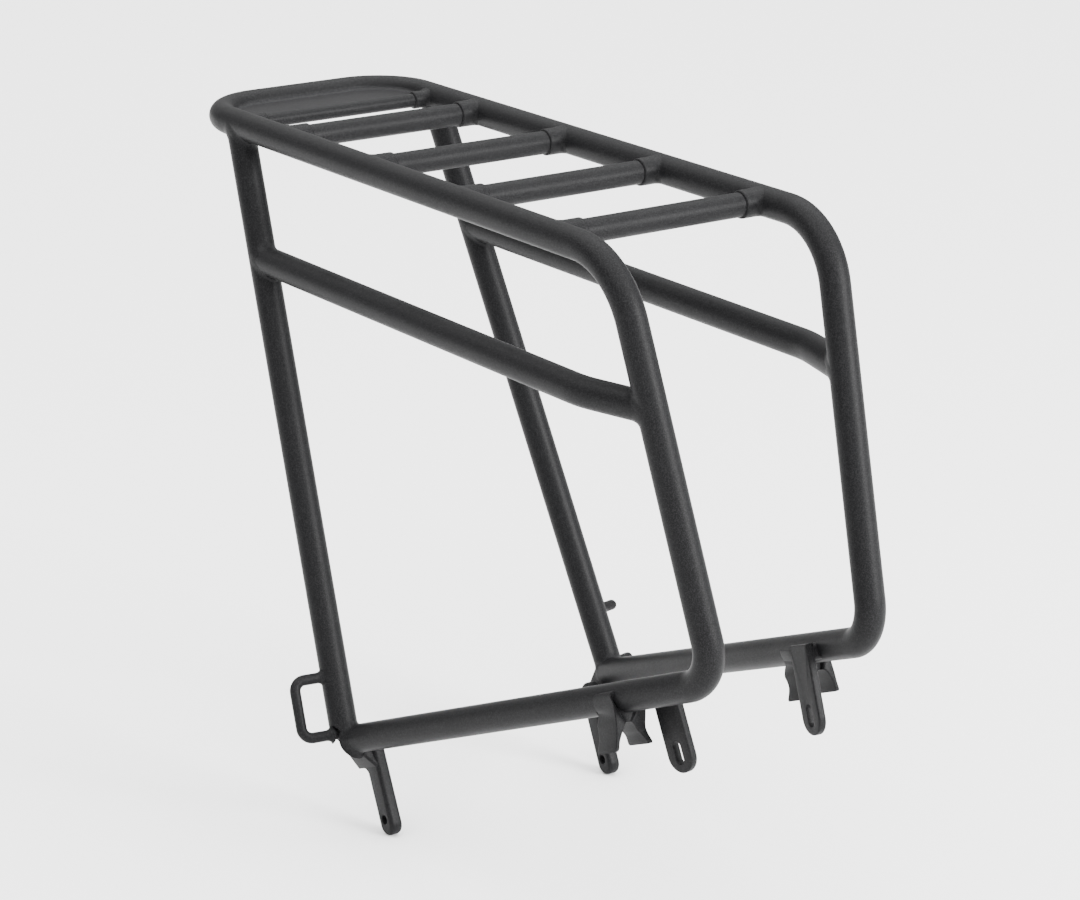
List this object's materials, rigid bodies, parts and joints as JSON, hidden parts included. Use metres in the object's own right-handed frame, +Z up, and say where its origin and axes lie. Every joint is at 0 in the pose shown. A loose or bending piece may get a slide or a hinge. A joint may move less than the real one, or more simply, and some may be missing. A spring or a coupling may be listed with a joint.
{
  "type": "bicycle rear cargo rack",
  "caption": "Welded tubular rear carrier with a flat barred deck, splayed side frames, pannier rails and bolt-on mounting tabs.",
  "frame": {"origin": "bottom centre of the whole bounding box: the lowest point is the round end of the rear dropout tabs, and the middle plane of the rack lies 4 mm towards +Y of the origin because the strap loop is on the right side only", "axes": "+X towards the front of the bicycle, +Y towards the bicycle's left, +Z up, with the deck level"},
  "size_m": [0.4772, 0.224, 0.3779],
  "materials": {
    "black_coat": "fine-textured satin black powder coat on steel tube",
    "plate_coat": "the same powder coat on flat sheet, seen lighter because it faces up"
  },
  "bodies": {
    "root": {"hoop_tube": "black_coat", "crossbar_1": "black_coat", "crossbar_1_right_collar": "black_coat", "crossbar_1_left_collar": "black_coat", "crossbar_2": "black_coat", "crossbar_2_right_collar": "black_coat", "crossbar_2_left_collar": "black_coat", "crossbar_3": "black_coat", "crossbar_3_right_collar": "black_coat", "crossbar_3_left_collar": "black_coat", "crossbar_4": "black_coat", "crossbar_4_right_collar": "black_coat", "crossbar_4_left_collar": "black_coat", "tail_bar": "black_coat", "tail_bar_right_collar": "black_coat", "tail_bar_left_collar": "black_coat", "tail_plate": "plate_coat", "right_rear_strut": "black_coat", "right_pannier_rail": "black_coat", "right_rear_dropout": "black_coat", "right_front_saddle": "black_coat", "right_front_slotted_tab": "black_coat", "left_rear_strut": "black_coat", "left_pannier_rail": "black_coat", "left_rear_dropout": "black_coat", "left_front_saddle": "black_coat", "left_front_slotted_tab": "black_coat", "right_strap_loop": "black_coat", "left_lower_peg": "black_coat", "left_upper_peg": "black_coat"}
  },
  "joints": []
}
